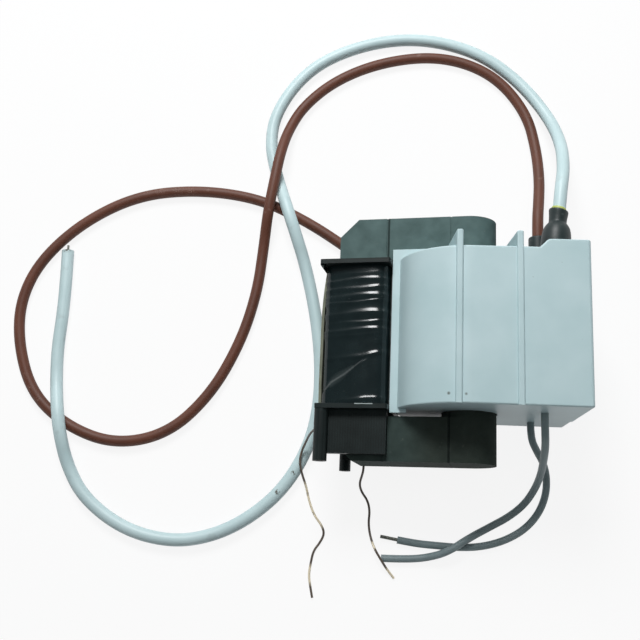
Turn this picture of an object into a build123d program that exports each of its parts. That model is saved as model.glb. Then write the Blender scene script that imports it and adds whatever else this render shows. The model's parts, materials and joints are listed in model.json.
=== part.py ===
import os
from math import asin, atan2, cos, degrees, hypot, pi, radians, sin, tan

from build123d import *

os.makedirs("parts", exist_ok=True)

# High-voltage transformer lying on its back: a potted secondary housing with a
# round barrel, a two-part ferrite core with one round and one square leg, a
# taped primary on a moulded bobbin, and six flying leads. Millimetres.
# X to the right, Y along the core's legs, Z up from the table. The origin is on
# the housing's flat back, midway between the round leg and the right side.

# Potted housing
housing_height = 57.0
barrel_radius = 26.0
barrel_shift = 1.6
box_reach = 40.0
edge_round = 1.2
end_round = 0.7
base_depth = 16.0
base_step = 0.65
rim_wall = 2.2
potting_depth = 3.0
bore_clearance = 0.3

# Ribs on the housing's front, which rise past its top end as fins
rib_width = 2.25
rib_rise = 0.8
left_rib_offset = -6.2
right_rib_offset = 15.1
rib_round = 0.6
fin_rise = 5.7
draft_angle = 5.0

# Raised block on the top end, in front of the lead exits, with a sloping left side
tower_offset = 22.1
tower_rise = 3.1
tower_slope = 45.0
tower_round = 2.5
exit_clearance = 5.1

# Barrier flange along the barrel, just in front of the core
barrier_reach = 0.2
barrier_thickness = 1.3
barrier_rise = 3.7
barrier_drop = 1.3
barrier_root = 6.0
barrier_tab = 12.0
barrier_gap = 0.3

# Ferrite core, as deep as its round leg is thick
round_leg_diameter = 20.0
square_leg_width = 18.0
yoke_thickness = 16.4
top_yoke_gap = 0.4
bottom_yoke_gap = 2.4
corner_cut = 7.0
groove_width = 0.7
groove_depth = 0.4
square_groove_offset = 9.2
round_groove_offset = 6.2

# Primary bobbin on the square leg
core_fit = 0.1
tube_wall = 0.9
bobbin_gap = 0.4
bobbin_top_gap = 1.2
bobbin_bottom_gap = 1.9
flange_left_lip = 1.6
flange_right_lip = 0.6
flange_front_lip = 4.0
flange_thickness = 1.75
flange_corner = 0.8
lug_lip = 0.4
lug_drop = 2.2
lug_gap = 0.3
skirt_height = 16.0
skirt_thickness = 3.0
skirt_gap = 0.3
skirt_left_lip = 0.45
skirt_right_lip = 2.0
front_post_diameter = 5.2
front_post_length = 19.0
front_post_inset = 2.3
front_post_gap = 1.3
back_post_diameter = 4.4
back_post_length = 20.0
back_post_inset = 6.25
back_post_gap = 1.4
post_recess_diameter = 2.6
post_recess = 1.5

# Primary winding and its tape, as thicknesses over the bobbin's tube
build_left = 3.6
build_right = 1.0
build_front = 1.6
tape_thickness = 0.5
tape_margin = 0.55
winding_margin = 0.1
coil_corner = 2.4

# Bowed insulation card on the coil's left side
card_thickness = 1.1
card_bow = 0.8
card_gap = 0.3
card_half_depth = 11.0
card_top_gap = 0.4
card_bottom_gap = 0.3

# Boots and sleeves at the high-voltage exits
exit_height = 25.0
boot_inset = 8.05
boot_lean = 6.0
boot_base_diameter = 11.8
boot_base_length = 10.3
boot_shoulder_diameter = 8.2
boot_cone_length = 7.2
boot_waist_diameter = 5.8
boot_shoulder_length = 1.0
boot_mouth_diameter = 7.3
boot_neck_length = 4.9
ring_wall = 0.6
ring_length = 1.2
ring_clearance = 0.1
sleeve_spacing = 3.95
sleeve_height = 15.0
sleeve_diameter = 7.4
sleeve_length = 16.0
sleeve_round = 0.6

# Flying leads
white_diameter = 5.0
brown_diameter = 4.4
grey_diameter = 2.8
copper_diameter = 0.9
strand_diameter = 0.9
strand_length = 2.4
conductor_diameter = 1.3
conductor_length = 6.6
white_exit_run = 10.0
brown_exit_run = 8.0
grey_exit_run = 6.0
rear_grey_height = 11.0
rear_grey_offset = 25.0
front_grey_height = 35.0
front_grey_offset = 26.0
copper_exit_run = 3.4
copper_start_inset = 2.4
copper_start_setback = 2.0
copper_finish_shift = 1.2

# Places worked out from the sizes
overrun = 2.0
housing_depth = 2 * barrel_radius
leg_x = -box_reach / 2
leg_z = barrel_radius
barrel_x = leg_x - barrel_shift
half_height = housing_height / 2
right_x = leg_x + box_reach
round_leg_radius = round_leg_diameter / 2
core_depth = round_leg_diameter
core_half_depth = round_leg_radius
tube_inner_u = square_leg_width / 2 + core_fit
tube_inner_w = core_half_depth + core_fit
tube_outer_u = tube_inner_u + tube_wall
tube_outer_w = tube_inner_w + tube_wall
coil_half_w = tube_outer_w + build_front
flange_left = tube_outer_u + build_left + flange_left_lip
flange_right = tube_outer_u + build_right + flange_right_lip
flange_half_depth = coil_half_w + flange_front_lip
leg_spacing = barrel_shift + barrel_radius + bobbin_gap + flange_right
square_u = -leg_spacing
flange_left_u = square_u - flange_left
flange_right_u = square_u + flange_right
coil_left_u = square_u - tube_outer_u - build_left
coil_right_u = square_u + tube_outer_u + build_right
window_top = half_height + top_yoke_gap
window_bottom = -half_height - bottom_yoke_gap
core_top = window_top + yoke_thickness
core_middle = (window_top + window_bottom) / 2
bobbin_top = window_top - bobbin_top_gap
bobbin_bottom = window_bottom + bobbin_bottom_gap
bobbin_height = bobbin_top - bobbin_bottom
coil_bottom = bobbin_bottom + flange_thickness
coil_top = bobbin_top - flange_thickness
skirt_inner_w = core_half_depth + skirt_gap

# The core and its primary hang from the round leg, so they turn about it until
# the flanges' back corner rests on the table, level with the housing's back.
corner_swing = hypot(flange_left_u, flange_half_depth)
corner_angle = atan2(flange_half_depth, -flange_left_u)
core_turn = asin(leg_z / corner_swing) - corner_angle
core_plane = Plane(
    origin=(leg_x, 0, leg_z),
    x_dir=(cos(core_turn), 0, sin(core_turn)),
    z_dir=(-sin(core_turn), 0, cos(core_turn)),
)
# Planes for sections across the legs: local x runs along the yokes, local y
# points to the core's back.
section_x = core_plane.x_dir
section_normal = Vector(0, 1, 0)


def section_at(y):
    return Plane(origin=(leg_x, y, leg_z), x_dir=section_x, z_dir=section_normal)


def corner_radii(points):
    # Each bend of a lead is as large as the shorter of its two runs allows.
    radii = []
    run_share = 0.45
    for before, corner, after in zip(points, points[1:], points[2:]):
        back = Vector(*before) - Vector(*corner)
        ahead = Vector(*after) - Vector(*corner)
        turn = 180 - back.get_angle(ahead)
        shorter = min(back.length, ahead.length)
        radii.append(run_share * shorter / tan(radians(turn) / 2))
    return radii


def report_lead(name, wire, part, points, diameter):
    section = pi * diameter**2 / 4
    length = wire.length
    ratio = part.volume / (section * length)
    radii = ", ".join(f"{radius:.0f}" for radius in corner_radii(points))
    print(f"{name}: {length:.0f} mm, volume ratio {ratio:.4f}, bends {radii}")


# Raised block on the housing's top end, flush with its front and right side
end_back = exit_height + boot_base_diameter / 2 + exit_clearance
tower_x = leg_x + tower_offset
tower_top = half_height + tower_rise
tower_foot = half_height - 2 * end_round
slope_run = 1 / tan(radians(tower_slope))
with BuildPart() as tower_block:
    with BuildSketch(Plane.XY.offset(end_back)):
        with BuildLine():
            tower_line = Polyline(
                (tower_x + (tower_foot - half_height) * slope_run, tower_foot),
                (right_x, tower_foot),
                (right_x, tower_top),
                (tower_x + tower_rise * slope_run, tower_top),
                close=True,
            )
        make_face()
        fillet(tower_line.vertices().sort_by(Axis.Y)[-2:].sort_by(Axis.X)[0], radius=tower_round)
    extrude(amount=housing_depth - end_back)
    tower_corner = tower_block.edges().filter_by(Axis.Y).sort_by(Axis.Z)[-1]
    fillet(tower_corner, radius=edge_round)
    tower_rim = tower_block.faces().filter_by(Axis.Y).sort_by(Axis.Y)[-1].edges()
    fillet(tower_rim.filter_by(Axis.X).sort_by(Axis.Z)[-1], radius=end_round)

# Housing: D-shaped section, a round barrel on the left and a box on the right
with BuildPart() as housing_case:
    with BuildSketch(Plane.XZ):
        with BuildLine():
            Polyline(
                (barrel_x, 0),
                (right_x - base_step, 0),
                (right_x - base_step, base_depth),
                (right_x, base_depth),
                (right_x, housing_depth),
                (barrel_x, housing_depth),
            )
            ThreePointArc(
                (barrel_x, housing_depth),
                (barrel_x - barrel_radius, leg_z),
                (barrel_x, 0),
            )
        make_face()
    extrude(amount=half_height, both=True)
    front_edges = housing_case.edges().filter_by(Axis.Y).group_by(Axis.Z)[-1]
    fillet(front_edges.sort_by(Axis.X)[-1], radius=edge_round)
    fillet(housing_case.faces().filter_by(Axis.Y).edges(), radius=end_round)
    add(tower_block.part)
    # ribs along the front, drafted towards the back and carried up as fins
    rib_crest = housing_depth + rib_rise
    rib_root_width = rib_width + 2 * (rib_crest - end_back) * tan(radians(draft_angle))
    for rib_offset in (left_rib_offset, right_rib_offset):
        rib_x = leg_x + rib_offset
        with BuildSketch(Plane.XZ.offset(half_height)):
            with BuildLine():
                Polyline(
                    (rib_x - rib_width / 2, rib_crest),
                    (rib_x + rib_width / 2, rib_crest),
                    (rib_x + rib_root_width / 2, end_back),
                    (rib_x - rib_root_width / 2, end_back),
                    close=True,
                )
            make_face()
        extrude(amount=-housing_height - fin_rise)
    crest_edges = housing_case.edges().filter_by(Axis.Y).group_by(Axis.Z)[-1]
    tip_edges = housing_case.faces().filter_by(Axis.Y).sort_by(Axis.Y)[-2:].edges()
    tip_fronts = tip_edges.filter_by(lambda edge: edge.center().Z > end_back + rib_rise)
    fillet(crest_edges + tip_fronts, radius=rib_round)
    # barrier flange along the barrel, parallel to the core's front
    barrier_u = -barrel_shift - barrel_radius - barrier_reach
    barrier_w = core_half_depth + barrier_gap
    with BuildSketch(core_plane.offset(barrier_w)):
        with BuildLine():
            Polyline(
                (barrier_u, -half_height - barrier_drop),
                (barrier_u, half_height + barrier_rise),
                (barrier_u + barrier_root + barrier_tab, half_height + barrier_rise),
                (barrier_u + barrier_root + barrier_tab, half_height - barrier_root),
                (barrier_u + barrier_root, half_height - barrier_root),
                (barrier_u + barrier_root, -half_height - barrier_drop),
                close=True,
            )
        make_face()
    extrude(amount=barrier_thickness)
    # bore for the round leg
    with BuildSketch(section_at(-half_height - overrun)):
        Circle(round_leg_radius + bore_clearance)
    extrude(amount=housing_height + 2 * overrun, mode=Mode.SUBTRACT)
    # recess in the back for the potting
    with BuildSketch(Plane.XY):
        with Locations(((leg_x + right_x - base_step) / 2, 0)):
            Rectangle(box_reach - base_step - 2 * rim_wall, housing_height - 2 * rim_wall)
    extrude(amount=potting_depth, mode=Mode.SUBTRACT)
housing_case.part.label = "housing_case"
export_step(housing_case.part, "parts/housing_case.step")

with BuildPart() as potting_fill:
    with BuildSketch(Plane.XY):
        with Locations(((leg_x + right_x - base_step) / 2, 0)):
            Rectangle(box_reach - base_step - 2 * rim_wall, housing_height - 2 * rim_wall)
    extrude(amount=potting_depth)
potting_fill.part.label = "potting_fill"
export_step(potting_fill.part, "parts/potting_fill.step")


# Core: two equal U halves that meet in the middle of the legs
corner_u = square_u - square_leg_width / 2
with BuildPart() as core_half_upper:
    # square leg and round leg
    with BuildSketch(section_at(core_middle)):
        with Locations((square_u, 0)):
            Rectangle(square_leg_width, core_depth)
        Circle(round_leg_radius)
    extrude(amount=core_top - core_middle)
    # yoke, flush with the square leg and tangent to the round one
    with BuildSketch(section_at(window_top)):
        with Locations((square_u / 2, 0)):
            Rectangle(leg_spacing, core_depth)
    extrude(amount=yoke_thickness)
    # grooves across the yoke's front and back, beside each leg
    for groove_u in (square_u + square_groove_offset, -round_groove_offset):
        for side in (1, -1):
            with BuildSketch(section_at(window_top)):
                with Locations((groove_u, side * core_half_depth)):
                    Rectangle(groove_width, 2 * groove_depth)
            extrude(amount=yoke_thickness, mode=Mode.SUBTRACT)
    # cut outer corner
    with BuildSketch(core_plane.offset(-core_half_depth - overrun)):
        with BuildLine():
            Polyline(
                (corner_u - overrun, core_top - corner_cut - overrun),
                (corner_u + corner_cut + overrun, core_top + overrun),
                (corner_u - overrun, core_top + overrun),
                close=True,
            )
        make_face()
    extrude(amount=core_depth + 2 * overrun, mode=Mode.SUBTRACT)
core_half_upper.part.label = "core_half_upper"
export_step(core_half_upper.part, "parts/core_half_upper.step")

with BuildPart() as core_half_lower:
    mirror(core_half_upper.part, about=Plane.XZ.offset(-core_middle))
core_half_lower.part.label = "core_half_lower"
export_step(core_half_lower.part, "parts/core_half_lower.step")


# Bobbin: a square tube with a flange at the top and a footed one at the bottom
with BuildPart() as primary_bobbin:
    with BuildSketch(section_at(bobbin_bottom)):
        with Locations((square_u, 0)):
            Rectangle(2 * tube_outer_u, 2 * tube_outer_w)
    extrude(amount=bobbin_height)
    for flange_y in (bobbin_bottom, bobbin_top - flange_thickness):
        with BuildSketch(section_at(flange_y)):
            with Locations(((flange_left_u + flange_right_u) / 2, 0)):
                RectangleRounded(flange_left + flange_right, 2 * flange_half_depth, flange_corner)
        extrude(amount=flange_thickness)
    # chamfered lug under the top flange's left end
    lug_half_depth = flange_half_depth - flange_corner
    with BuildSketch(core_plane.offset(-lug_half_depth)):
        with BuildLine():
            Polyline(
                (flange_left_u, coil_top),
                (flange_left_u, coil_top - lug_lip),
                (coil_left_u - lug_gap, coil_top - lug_drop),
                (coil_left_u - lug_gap, coil_top),
                close=True,
            )
        make_face()
    extrude(amount=2 * lug_half_depth)
    # skirts in front of and behind the lower yoke, the front one joined to its post
    front_post_u = flange_left_u + front_post_inset
    back_skirt_u = square_u - square_leg_width / 2 - skirt_left_lip
    skirt_right_u = square_u + square_leg_width / 2 + skirt_right_lip
    skirt_middle_w = skirt_inner_w + skirt_thickness / 2
    for skirt_left_u, side in ((front_post_u, -1), (back_skirt_u, 1)):
        with BuildSketch(section_at(bobbin_bottom)):
            with Locations(((skirt_left_u + skirt_right_u) / 2, side * skirt_middle_w)):
                Rectangle(skirt_right_u - skirt_left_u, skirt_thickness)
        extrude(amount=-skirt_height)
    # round posts at the left of the foot, hollow at the end
    front_post_w = core_half_depth + front_post_gap + front_post_diameter / 2
    back_post_w = core_half_depth + back_post_gap + back_post_diameter / 2
    for post_u, post_w, diameter, length in (
        (front_post_u, front_post_w, front_post_diameter, front_post_length),
        (flange_left_u + back_post_inset, -back_post_w, back_post_diameter, back_post_length),
    ):
        with BuildSketch(section_at(bobbin_bottom)):
            with Locations((post_u, -post_w)):
                Circle(diameter / 2)
        extrude(amount=-length)
        with BuildSketch(section_at(bobbin_bottom - length)):
            with Locations((post_u, -post_w)):
                Circle(post_recess_diameter / 2)
        extrude(amount=post_recess, mode=Mode.SUBTRACT)
    # passage for the square leg
    with BuildSketch(section_at(bobbin_bottom - overrun)):
        with Locations((square_u, 0)):
            Rectangle(2 * tube_inner_u, 2 * tube_inner_w)
    extrude(amount=bobbin_height + 2 * overrun, mode=Mode.SUBTRACT)
primary_bobbin.part.label = "primary_bobbin"
export_step(primary_bobbin.part, "parts/primary_bobbin.step")

# Winding round the bobbin's tube, and the tape over it
coil_middle_u = (coil_left_u + coil_right_u) / 2
coil_width = coil_right_u - coil_left_u

with BuildPart() as primary_winding:
    with BuildSketch(section_at(coil_bottom + winding_margin)):
        with Locations((coil_middle_u, 0)):
            RectangleRounded(
                coil_width - 2 * tape_thickness,
                2 * (coil_half_w - tape_thickness),
                coil_corner - tape_thickness,
            )
        with Locations((square_u, 0)):
            Rectangle(2 * tube_outer_u, 2 * tube_outer_w, mode=Mode.SUBTRACT)
    extrude(amount=coil_top - coil_bottom - 2 * winding_margin)
primary_winding.part.label = "primary_winding"
export_step(primary_winding.part, "parts/primary_winding.step")

with BuildPart() as tape_wrap:
    with BuildSketch(section_at(coil_bottom + tape_margin)):
        with Locations((coil_middle_u, 0)):
            RectangleRounded(coil_width, 2 * coil_half_w, coil_corner)
            RectangleRounded(
                coil_width - 2 * tape_thickness,
                2 * (coil_half_w - tape_thickness),
                coil_corner - tape_thickness,
                mode=Mode.SUBTRACT,
            )
    extrude(amount=coil_top - coil_bottom - 2 * tape_margin)
tape_wrap.part.label = "tape_wrap"
export_step(tape_wrap.part, "parts/tape_wrap.step")


# Insulation card, bowed outwards along the coil
card_inner_u = coil_left_u - card_gap
card_top = coil_top - lug_drop - card_top_gap
card_bottom = coil_bottom + card_bottom_gap
card_middle = (card_top + card_bottom) / 2
with BuildPart() as insulation_card:
    with BuildSketch(core_plane.offset(-card_half_depth)):
        with BuildLine():
            ThreePointArc(
                (card_inner_u, card_bottom),
                (card_inner_u - card_bow, card_middle),
                (card_inner_u, card_top),
            )
            Line((card_inner_u, card_top), (card_inner_u - card_thickness, card_top))
            ThreePointArc(
                (card_inner_u - card_thickness, card_top),
                (card_inner_u - card_thickness - card_bow, card_middle),
                (card_inner_u - card_thickness, card_bottom),
            )
            Line((card_inner_u - card_thickness, card_bottom), (card_inner_u, card_bottom))
        make_face()
    extrude(amount=2 * card_half_depth)
insulation_card.part.label = "insulation_card"
export_step(insulation_card.part, "parts/insulation_card.step")


# Moulded boot on the white lead, turned about its own axis, which leans to the
# right and so seats on the right edge of its base
boot_x = right_x - boot_inset
lean = radians(boot_lean)
boot_axis = Vector(sin(lean), cos(lean), 0)
boot_seat = boot_base_diameter / 2 * sin(lean)
boot_origin = Vector(boot_x, half_height, exit_height) + boot_axis * boot_seat
boot_shoulder = boot_base_length + boot_cone_length
boot_waist = boot_shoulder + boot_shoulder_length
boot_length = boot_waist + boot_neck_length
boot_mouth = boot_origin + boot_axis * boot_length
with BuildPart() as white_lead_boot:
    with BuildSketch(Plane(origin=boot_origin, x_dir=(cos(lean), -sin(lean), 0), z_dir=(0, 0, 1))):
        with BuildLine():
            Polyline(
                (0, 0),
                (boot_base_diameter / 2, 0),
                (boot_base_diameter / 2, boot_base_length),
                (boot_shoulder_diameter / 2, boot_shoulder),
                (boot_waist_diameter / 2, boot_waist),
                (boot_mouth_diameter / 2, boot_length),
                (0, boot_length),
                close=True,
            )
        make_face()
    revolve(axis=Axis(boot_origin, boot_axis))
white_lead_boot.part.label = "white_lead_boot"
export_step(white_lead_boot.part, "parts/white_lead_boot.step")

# Collar where the white lead leaves the boot
ring_inner = white_diameter / 2 + ring_clearance
with BuildPart() as boot_ring:
    with BuildSketch(Plane(origin=boot_mouth, z_dir=boot_axis)):
        Circle(ring_inner + ring_wall)
        Circle(ring_inner, mode=Mode.SUBTRACT)
    extrude(amount=ring_length)
boot_ring.part.label = "boot_ring"
export_step(boot_ring.part, "parts/boot_ring.step")

# Sleeve of the brown lead, lower down and partly behind the boot
sleeve_x = boot_x - sleeve_spacing
with BuildPart() as brown_lead_sleeve:
    with BuildSketch(Plane(origin=(sleeve_x, half_height, sleeve_height), z_dir=(0, 1, 0))):
        Circle(sleeve_diameter / 2)
    extrude(amount=sleeve_length)
    fillet(brown_lead_sleeve.edges().sort_by(Axis.Y)[-1], radius=sleeve_round)
brown_lead_sleeve.part.label = "brown_lead_sleeve"
export_step(brown_lead_sleeve.part, "parts/brown_lead_sleeve.step")


# White high-voltage lead: out of the boot, down to the table, round by the left
# and back up beside the bobbin, over the brown lead twice
white_route = [
    tuple(boot_mouth),
    tuple(boot_mouth + boot_axis * white_exit_run),
    (17.6, 72.6, 20.6),
    (18.6, 87.5, 11.4),
    (14.5, 103.0, 4.6),
    (3.0, 119.5, 2.5),
    (-13.5, 132.5, 2.5),
    (-36.0, 139.0, 2.5),
    (-58.0, 137.5, 2.5),
    (-79.5, 129.0, 2.5),
    (-92.5, 117.0, 2.5),
    (-101.0, 101.0, 2.5),
    (-102.0, 87.5, 2.5),
    (-99.5, 77.0, 2.5),
    (-96.5, 67.5, 3.6),
    (-93.0, 57.5, 8.0),
    (-89.0, 46.5, 7.6),
    (-84.5, 34.0, 2.7),
    (-79.5, 14.0, 2.5),
    (-76.5, -6.0, 2.5),
    (-76.5, -25.5, 2.5),
    (-80.5, -42.0, 2.5),
    (-89.5, -57.5, 2.5),
    (-102.5, -69.0, 2.5),
    (-116.5, -76.0, 2.5),
    (-132.0, -78.5, 2.5),
    (-150.5, -74.5, 2.5),
    (-167.0, -63.5, 2.5),
    (-175.0, -51.0, 2.7),
    (-178.0, -39.0, 7.2),
    (-180.0, -29.5, 7.2),
    (-183.0, -18.5, 2.7),
    (-184.2, -4.5, 2.5),
    (-183.6, 10.5, 2.5),
    (-183.8, 25.0, 2.5),
    (-184.4, 37.8, 2.5),
]
with BuildPart() as white_lead:
    with BuildLine() as white_path:
        FilletPolyline(*white_route, radius=corner_radii(white_route))
    with BuildSketch(Plane(origin=white_path.line @ 0, z_dir=white_path.line % 0)):
        Circle(white_diameter / 2)
    sweep()
white_lead.part.label = "white_lead"
export_step(white_lead.part, "parts/white_lead.step")
report_lead("white_lead", white_path.wire(), white_lead.part, white_route, white_diameter)

# Strand left standing at the white lead's cut end
with BuildPart() as white_lead_strand:
    with BuildSketch(Plane(origin=white_path.line @ 1, z_dir=white_path.line % 1)):
        Circle(strand_diameter / 2)
    extrude(amount=strand_length)
white_lead_strand.part.label = "white_lead_strand"
export_step(white_lead_strand.part, "parts/white_lead_strand.step")

# Brown lead: beside the white one, round a second loop and in under the core
brown_route = [
    (sleeve_x, half_height + sleeve_length, sleeve_height),
    (sleeve_x, half_height + sleeve_length + brown_exit_run, sleeve_height),
    (9.0, 60.4, 12.4),
    (10.2, 72.4, 8.2),
    (9.8, 87.4, 3.8),
    (6.5, 104.0, 2.2),
    (-4.5, 119.5, 2.2),
    (-19.0, 128.0, 2.2),
    (-36.5, 130.8, 2.2),
    (-57.5, 127.0, 2.2),
    (-75.5, 118.5, 2.2),
    (-88.5, 106.5, 2.2),
    (-94.5, 95.0, 2.6),
    (-97.0, 82.5, 7.6),
    (-98.8, 69.0, 8.8),
    (-100.8, 55.0, 8.2),
    (-102.3, 42.0, 2.6),
    (-104.0, 22.0, 2.2),
    (-109.5, 1.0, 2.2),
    (-120.0, -20.5, 2.2),
    (-136.0, -37.0, 2.2),
    (-157.0, -42.0, 2.2),
    (-177.0, -35.5, 2.2),
    (-193.0, -22.5, 2.2),
    (-201.0, -1.5, 2.2),
    (-202.0, 17.0, 2.2),
    (-195.0, 34.5, 2.2),
    (-178.5, 51.5, 2.2),
    (-156.5, 63.5, 2.2),
    (-131.5, 66.5, 2.2),
    (-106.5, 63.5, 2.2),
    (-87.5, 55.0, 2.2),
    (-70.5, 44.5, 2.2),
    (-58.0, 35.5, 2.2),
]
with BuildPart() as brown_lead:
    with BuildLine() as brown_path:
        FilletPolyline(*brown_route, radius=corner_radii(brown_route))
    with BuildSketch(Plane(origin=brown_path.line @ 0, z_dir=brown_path.line % 0)):
        Circle(brown_diameter / 2)
    sweep()
brown_lead.part.label = "brown_lead"
export_step(brown_lead.part, "parts/brown_lead.step")
report_lead("brown_lead", brown_path.wire(), brown_lead.part, brown_route, brown_diameter)

# Two grey leads from the housing's bottom end, which cross twice
grey_rear_route = [
    (leg_x + rear_grey_offset, -half_height, rear_grey_height),
    (leg_x + rear_grey_offset, -half_height - grey_exit_run, rear_grey_height),
    (7.6, -39.0, 8.6),
    (10.8, -42.8, 4.4),
    (12.6, -48.2, 1.7),
    (12.2, -55.2, 1.4),
    (9.2, -62.4, 1.4),
    (3.6, -68.6, 1.4),
    (-4.2, -73.0, 1.4),
    (-12.6, -75.4, 1.4),
    (-20.8, -76.0, 1.4),
    (-29.5, -75.6, 1.4),
    (-37.5, -75.2, 1.4),
    (-44.4, -74.1, 1.4),
]
with BuildPart() as grey_lead_rear:
    with BuildLine() as grey_rear_path:
        FilletPolyline(*grey_rear_route, radius=corner_radii(grey_rear_route))
    with BuildSketch(Plane(origin=grey_rear_path.line @ 0, z_dir=grey_rear_path.line % 0)):
        Circle(grey_diameter / 2)
    sweep()
grey_lead_rear.part.label = "grey_lead_rear"
export_step(grey_lead_rear.part, "parts/grey_lead_rear.step")
report_lead("grey_lead_rear", grey_rear_path.wire(), grey_lead_rear.part, grey_rear_route, grey_diameter)

# Stripped end of the rear grey lead
with BuildPart() as grey_conductor:
    with BuildSketch(Plane(origin=grey_rear_path.line @ 1, z_dir=grey_rear_path.line % 1)):
        Circle(conductor_diameter / 2)
    extrude(amount=conductor_length)
grey_conductor.part.label = "grey_conductor"
export_step(grey_conductor.part, "parts/grey_conductor.step")

grey_front_route = [
    (leg_x + front_grey_offset, -half_height, front_grey_height),
    (leg_x + front_grey_offset, -half_height - grey_exit_run, front_grey_height),
    (6.8, -39.8, 31.0),
    (7.6, -44.2, 22.5),
    (8.4, -48.4, 12.0),
    (7.4, -53.2, 4.8),
    (4.0, -58.8, 1.6),
    (-2.0, -63.8, 1.4),
    (-9.5, -68.0, 1.6),
    (-17.5, -72.4, 4.8),
    (-25.6, -78.0, 4.8),
    (-33.5, -80.4, 1.6),
    (-42.0, -81.2, 1.4),
    (-50.4, -81.2, 1.4),
]
with BuildPart() as grey_lead_front:
    with BuildLine() as grey_front_path:
        FilletPolyline(*grey_front_route, radius=corner_radii(grey_front_route))
    with BuildSketch(Plane(origin=grey_front_path.line @ 0, z_dir=grey_front_path.line % 0)):
        Circle(grey_diameter / 2)
    sweep()
grey_lead_front.part.label = "grey_lead_front"
export_step(grey_lead_front.part, "parts/grey_lead_front.step")
report_lead("grey_lead_front", grey_front_path.wire(), grey_lead_front.part, grey_front_route, grey_diameter)

# Enamelled ends of the primary: the start comes down through the foot's ledge
# behind the post, the finish leaves the back skirt under the core
start_exit = core_plane.from_local_coords(
    (flange_left_u + copper_start_inset, bobbin_bottom, core_half_depth - copper_start_setback)
)
start_lead_out = start_exit - Vector(0, copper_exit_run, 0)
copper_start_route = [
    tuple(start_exit),
    tuple(start_lead_out),
    (-75.8, -34.4, 20.6),
    (-78.8, -36.0, 14.2),
    (-80.6, -38.6, 8.8),
    (-82.3, -42.2, 6.4),
    (-83.0, -46.2, 6.2),
    (-82.0, -50.6, 4.6),
    (-80.2, -55.4, 1.0),
    (-79.0, -60.5, 0.5),
    (-76.8, -66.0, 0.5),
    (-73.6, -69.8, 0.5),
    (-72.4, -73.0, 0.5),
    (-74.0, -76.4, 0.5),
    (-76.4, -79.6, 0.5),
    (-77.2, -84.0, 0.5),
    (-77.8, -88.5, 0.5),
    (-77.0, -92.8, 0.5),
    (-76.1, -96.9, 0.5),
]
with BuildPart() as copper_lead_start:
    with BuildLine() as copper_start_path:
        FilletPolyline(*copper_start_route, radius=corner_radii(copper_start_route))
    with BuildSketch(Plane(origin=copper_start_path.line @ 0, z_dir=copper_start_path.line % 0)):
        Circle(copper_diameter / 2)
    sweep()
copper_lead_start.part.label = "copper_lead_start"
export_step(copper_lead_start.part, "parts/copper_lead_start.step")
report_lead(
    "copper_lead_start",
    copper_start_path.wire(),
    copper_lead_start.part,
    copper_start_route,
    copper_diameter,
)

finish_exit = core_plane.from_local_coords(
    (square_u - copper_finish_shift, bobbin_bottom - skirt_height, -skirt_middle_w)
)
finish_lead_out = finish_exit - Vector(0, copper_exit_run, 0)
copper_finish_route = [
    tuple(finish_exit),
    tuple(finish_lead_out),
    (-58.6, -50.4, 5.0),
    (-59.6, -53.6, 2.6),
    (-58.6, -56.6, 0.7),
    (-56.2, -59.6, 0.5),
    (-55.2, -63.6, 0.5),
    (-55.6, -68.2, 0.5),
    (-54.9, -72.8, 1.0),
    (-53.2, -77.6, 3.9),
    (-50.2, -82.2, 3.9),
    (-47.8, -85.6, 1.2),
    (-45.3, -88.4, 0.5),
]
with BuildPart() as copper_lead_finish:
    with BuildLine() as copper_finish_path:
        FilletPolyline(*copper_finish_route, radius=corner_radii(copper_finish_route))
    with BuildSketch(Plane(origin=copper_finish_path.line @ 0, z_dir=copper_finish_path.line % 0)):
        Circle(copper_diameter / 2)
    sweep()
copper_lead_finish.part.label = "copper_lead_finish"
export_step(copper_lead_finish.part, "parts/copper_lead_finish.step")
report_lead(
    "copper_lead_finish",
    copper_finish_path.wire(),
    copper_lead_finish.part,
    copper_finish_route,
    copper_diameter,
)
print(f"core turn {degrees(core_turn):.2f} degrees")
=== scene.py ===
import bpy
import json
import math
import numpy as np
from mathutils import Euler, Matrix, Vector


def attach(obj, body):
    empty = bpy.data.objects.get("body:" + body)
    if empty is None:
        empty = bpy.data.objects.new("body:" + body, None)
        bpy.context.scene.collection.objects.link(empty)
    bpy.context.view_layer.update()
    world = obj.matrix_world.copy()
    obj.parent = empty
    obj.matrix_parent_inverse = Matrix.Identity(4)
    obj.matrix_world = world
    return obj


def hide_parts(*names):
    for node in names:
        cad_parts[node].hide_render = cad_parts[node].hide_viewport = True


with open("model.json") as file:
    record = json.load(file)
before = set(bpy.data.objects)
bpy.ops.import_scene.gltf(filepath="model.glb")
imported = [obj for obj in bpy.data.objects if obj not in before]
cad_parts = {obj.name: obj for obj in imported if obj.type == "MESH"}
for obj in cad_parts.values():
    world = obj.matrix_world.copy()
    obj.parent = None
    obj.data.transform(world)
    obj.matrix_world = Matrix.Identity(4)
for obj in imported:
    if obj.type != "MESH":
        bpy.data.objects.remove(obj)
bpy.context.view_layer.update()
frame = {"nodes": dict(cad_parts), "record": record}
nodes = frame["nodes"]
mm = 0.001  # the routes below are in millimetres, the scene is in metres
sceneNow = bpy.context.scene
sceneNow.view_settings.view_transform = "Standard"
print("frame loaded:", len(nodes), "nodes")


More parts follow.
